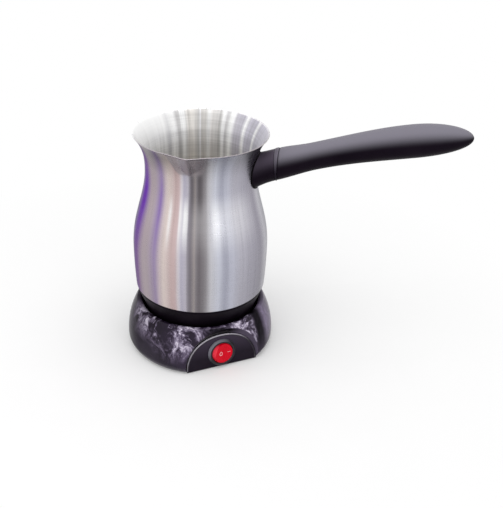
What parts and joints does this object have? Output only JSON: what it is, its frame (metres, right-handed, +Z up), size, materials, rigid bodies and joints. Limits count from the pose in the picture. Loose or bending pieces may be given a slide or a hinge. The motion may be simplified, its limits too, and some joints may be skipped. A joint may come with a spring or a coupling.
{
  "type": "electric turkish coffee maker",
  "caption": "Electric Turkish coffee pot: flared steel pot with a pouring lip, long dark handle and black foot, on a round cordless power base with a red rocker switch.",
  "frame": {"origin": "on the axis of the pot and the base, at the underside of the bottom cover, 1 mm above the surface that the feet stand on", "axes": "+Z up, +X out along the handle, and the pouring lip points to -Y"},
  "size_m": [0.2406, 0.1122, 0.1882],
  "materials": {
    "pot_steel": "bright satin steel with fine brushing round the pot",
    "bright_steel": "plain zinc-bright steel",
    "cast_aluminium": "dull cast aluminium",
    "element_sheath": "dark oxidised metal sheath",
    "white_ceramic": "matt off-white ceramic",
    "fuse_body": "matt pale yellow sleeve",
    "red_silicone": "matt silicone rubber",
    "black_plastic": "matt black moulded plastic",
    "connector_plastic": "matt dark grey moulded plastic",
    "contact_brass": "plain brass",
    "lead_brown": "matt brown insulation",
    "lead_white": "matt white glass-fibre sleeve",
    "lead_blue": "matt blue insulation",
    "lead_green": "matt green insulation",
    "handle_plastic": "satin black heat-proof plastic",
    "ring_plastic": "slightly lighter, glossier dark plastic",
    "base_gloss": "polished near-black plastic with a violet cast",
    "panel_plastic": "fine matt black plastic",
    "bezel_plastic": "satin dark grey plastic",
    "rocker_red": "translucent red plastic with white marks",
    "white_plastic": "matt off-white plastic",
    "foot_rubber": "matt black rubber"
  },
  "bodies": {
    "base": {"base_housing": "base_gloss", "switch_panel": "panel_plastic", "panel_clips": "bright_steel", "switch_body": "bezel_plastic", "switch_terminals": "contact_brass", "base_coupler": "connector_plastic", "base_coupler_screws": "bright_steel", "base_contacts": "contact_brass", "bottom_cover": "black_plastic", "cover_screws": "bright_steel", "foot_1": "foot_rubber", "foot_2": "foot_rubber", "foot_3": "foot_rubber", "foot_4": "foot_rubber", "inlet_bush": "foot_rubber", "cord_clamp": "connector_plastic", "clamp_screws": "bright_steel", "terminal_block": "white_plastic", "terminal_screws": "bright_steel", "base_lead_live": "lead_brown", "base_lead_switched": "lead_brown", "base_lead_neutral": "lead_blue", "base_lead_earth": "lead_green"},
    "rocker": {"rocker": "rocker_red", "rocker_plunger": "white_plastic"},
    "contact_lever": {"contact_lever": "contact_brass"},
    "glide": {"glide_ring": "white_plastic"},
    "pot": {"pot_shell": "pot_steel", "weld_studs": "bright_steel", "heater_plate": "cast_aluminium", "heating_element": "element_sheath", "cold_pins": "bright_steel", "boil_dry_cutout": "white_ceramic", "thermal_fuse": "fuse_body", "cup_gasket": "red_silicone", "pot_cup": "black_plastic", "cup_screws": "bright_steel", "pot_coupler": "connector_plastic", "earth_pin": "contact_brass", "live_ring": "contact_brass", "neutral_ring": "contact_brass", "pot_coupler_screws": "bright_steel", "pot_lead_live": "lead_brown", "pot_lead_fuse": "lead_white", "pot_lead_cold": "lead_white", "pot_lead_neutral": "lead_blue", "pot_lead_earth": "lead_green", "handle_strap": "bright_steel", "handle_collar": "handle_plastic", "handle_ring": "ring_plastic", "handle_grip": "handle_plastic", "handle_screw": "bright_steel"}
  },
  "joints": [
    {"name": "rocker_tilt", "type": "hinge", "parent": "base", "child": "rocker", "pos_m": [0.02357, -0.03847, 0.01218], "axis": [-0.0546, 0.0891, 0.9945], "range_deg": [-22, 0]},
    {"name": "lever_swing", "type": "hinge", "parent": "base", "child": "contact_lever", "pos_m": [0.01812, -0.02957, 0.01108], "axis": [-0.0546, 0.0891, 0.9945], "range_deg": [0, 14]},
    {"name": "pot_turn", "type": "hinge", "parent": "base", "child": "glide", "pos_m": [0, 0, 0.026], "axis": [0, 0, 1], "continuous": true},
    {"name": "pot_lift", "type": "slide", "parent": "glide", "child": "pot", "axis": [0, 0, 1], "range_m": [0, 0.06]}
  ],
  "couplings": [
    {"joint": "lever_swing", "follows": "rocker_tilt", "ratio": -0.63636}
  ]
}
